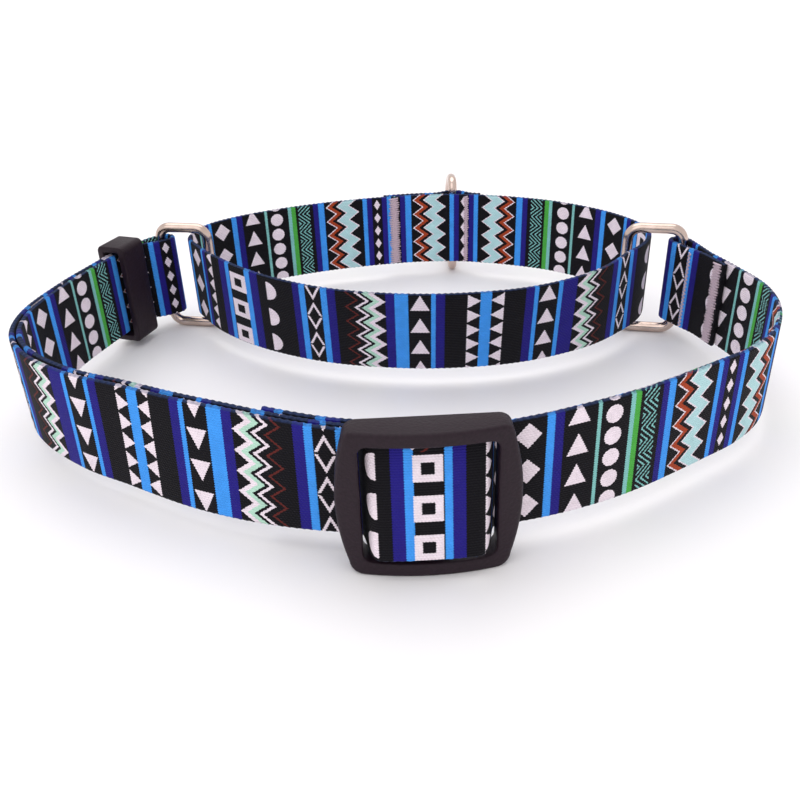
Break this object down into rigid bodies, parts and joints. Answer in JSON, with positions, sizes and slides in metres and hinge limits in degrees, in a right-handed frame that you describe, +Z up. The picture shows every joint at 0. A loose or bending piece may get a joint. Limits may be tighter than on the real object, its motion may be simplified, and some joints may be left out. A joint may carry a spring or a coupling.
{
  "type": "martingale collar",
  "caption": "Limited-slip dog collar: webbing neck strap with slide adjuster, two rectangular rings and a control loop with a leash ring.",
  "frame": {"origin": "centre of the whole collar's box in plan, at the level its rings stand on", "axes": "+Z up along the webbing's width, -Y towards the adjuster at the front, +Y towards the leash ring, +X towards the single-layer side of the neck strap"},
  "size_m": [0.1916, 0.186, 0.0345],
  "materials": {
    "webbing": "printed polyester webbing with a geometric stripe print",
    "thread": "pale grey sewing thread",
    "plastic": "finely textured black moulded plastic",
    "wire": "polished nickel plate"
  },
  "bodies": {
    "neck_band": {"neck_strap_right_front": "webbing", "neck_strap_right_side": "webbing", "neck_strap_left_front_outer": "webbing", "neck_strap_left_front_inner": "webbing", "neck_strap_left_side_outer": "webbing", "neck_strap_left_side_inner": "webbing", "control_loop_front": "webbing"},
    "adjuster": {"adjuster_frame": "plastic", "neck_strap_pass": "webbing", "neck_strap_end_fold": "webbing", "end_fold_bartack": "thread"},
    "left_end": {"neck_strap_left_fold": "webbing", "control_loop_left_turn": "webbing"},
    "keeper": {"strap_keeper": "plastic"},
    "left_ring_body": {"left_ring": "wire"},
    "right_end": {"neck_strap_right_fold": "webbing", "right_fold_bartack": "thread", "control_loop_right_turn": "webbing"},
    "right_ring_body": {"right_ring": "wire"},
    "leash_pocket": {"leash_pocket_inner": "webbing", "leash_pocket_outer": "webbing", "pocket_bartack_left": "thread", "pocket_bartack_right": "thread", "control_loop_back_left": "webbing", "control_loop_back_right": "webbing"},
    "leash_ring_body": {"leash_ring": "wire"}
  },
  "joints": [
    {"name": "left_ring_draw", "type": "slide", "parent": "neck_band", "child": "left_end", "axis": [1, 0, 0], "range_m": [0, 0.015], "deforming": ["neck_strap_left_side_outer", "neck_strap_left_side_inner", "control_loop_front"]},
    {"name": "right_ring_draw", "type": "slide", "parent": "neck_band", "child": "right_end", "axis": [-1, 0, 0], "range_m": [0, 0.015], "deforming": ["neck_strap_right_side"]},
    {"name": "leash_draw", "type": "slide", "parent": "neck_band", "child": "leash_pocket", "axis": [0, 1, 0], "range_m": [0, 0.03], "deforming": ["control_loop_back_left", "control_loop_back_right"]},
    {"name": "adjuster_slide", "type": "hinge", "parent": "neck_band", "child": "adjuster", "pos_m": [0.002, 0.02021, 0], "axis": [0, 0, 1], "range_deg": [-9, 9], "deforming": ["neck_strap_right_front", "neck_strap_left_front_outer", "neck_strap_left_front_inner"]},
    {"name": "keeper_slide", "type": "slide", "parent": "left_end", "child": "keeper", "axis": [0.3443, 0.9389, 0], "range_m": [-0.009, 0.0015]},
    {"name": "left_ring_swing", "type": "hinge", "parent": "left_end", "child": "left_ring_body", "pos_m": [-0.0724, 0.03321, 0], "axis": [0, 0, 1], "range_deg": [-10, 12]},
    {"name": "right_ring_swing", "type": "hinge", "parent": "right_end", "child": "right_ring_body", "pos_m": [0.08471, 0.01421, 0], "axis": [0, 0, 1], "range_deg": [-12, 12]},
    {"name": "leash_ring_swing", "type": "hinge", "parent": "leash_pocket", "child": "leash_ring_body", "pos_m": [0.02151, 0.07196, 0], "axis": [0, 0, 1], "range_deg": [-70, 70]}
  ],
  "couplings": [
    {"joint": "right_ring_draw", "follows": "left_ring_draw", "ratio": 1},
    {"joint": "leash_draw", "follows": "left_ring_draw", "ratio": 2}
  ]
}
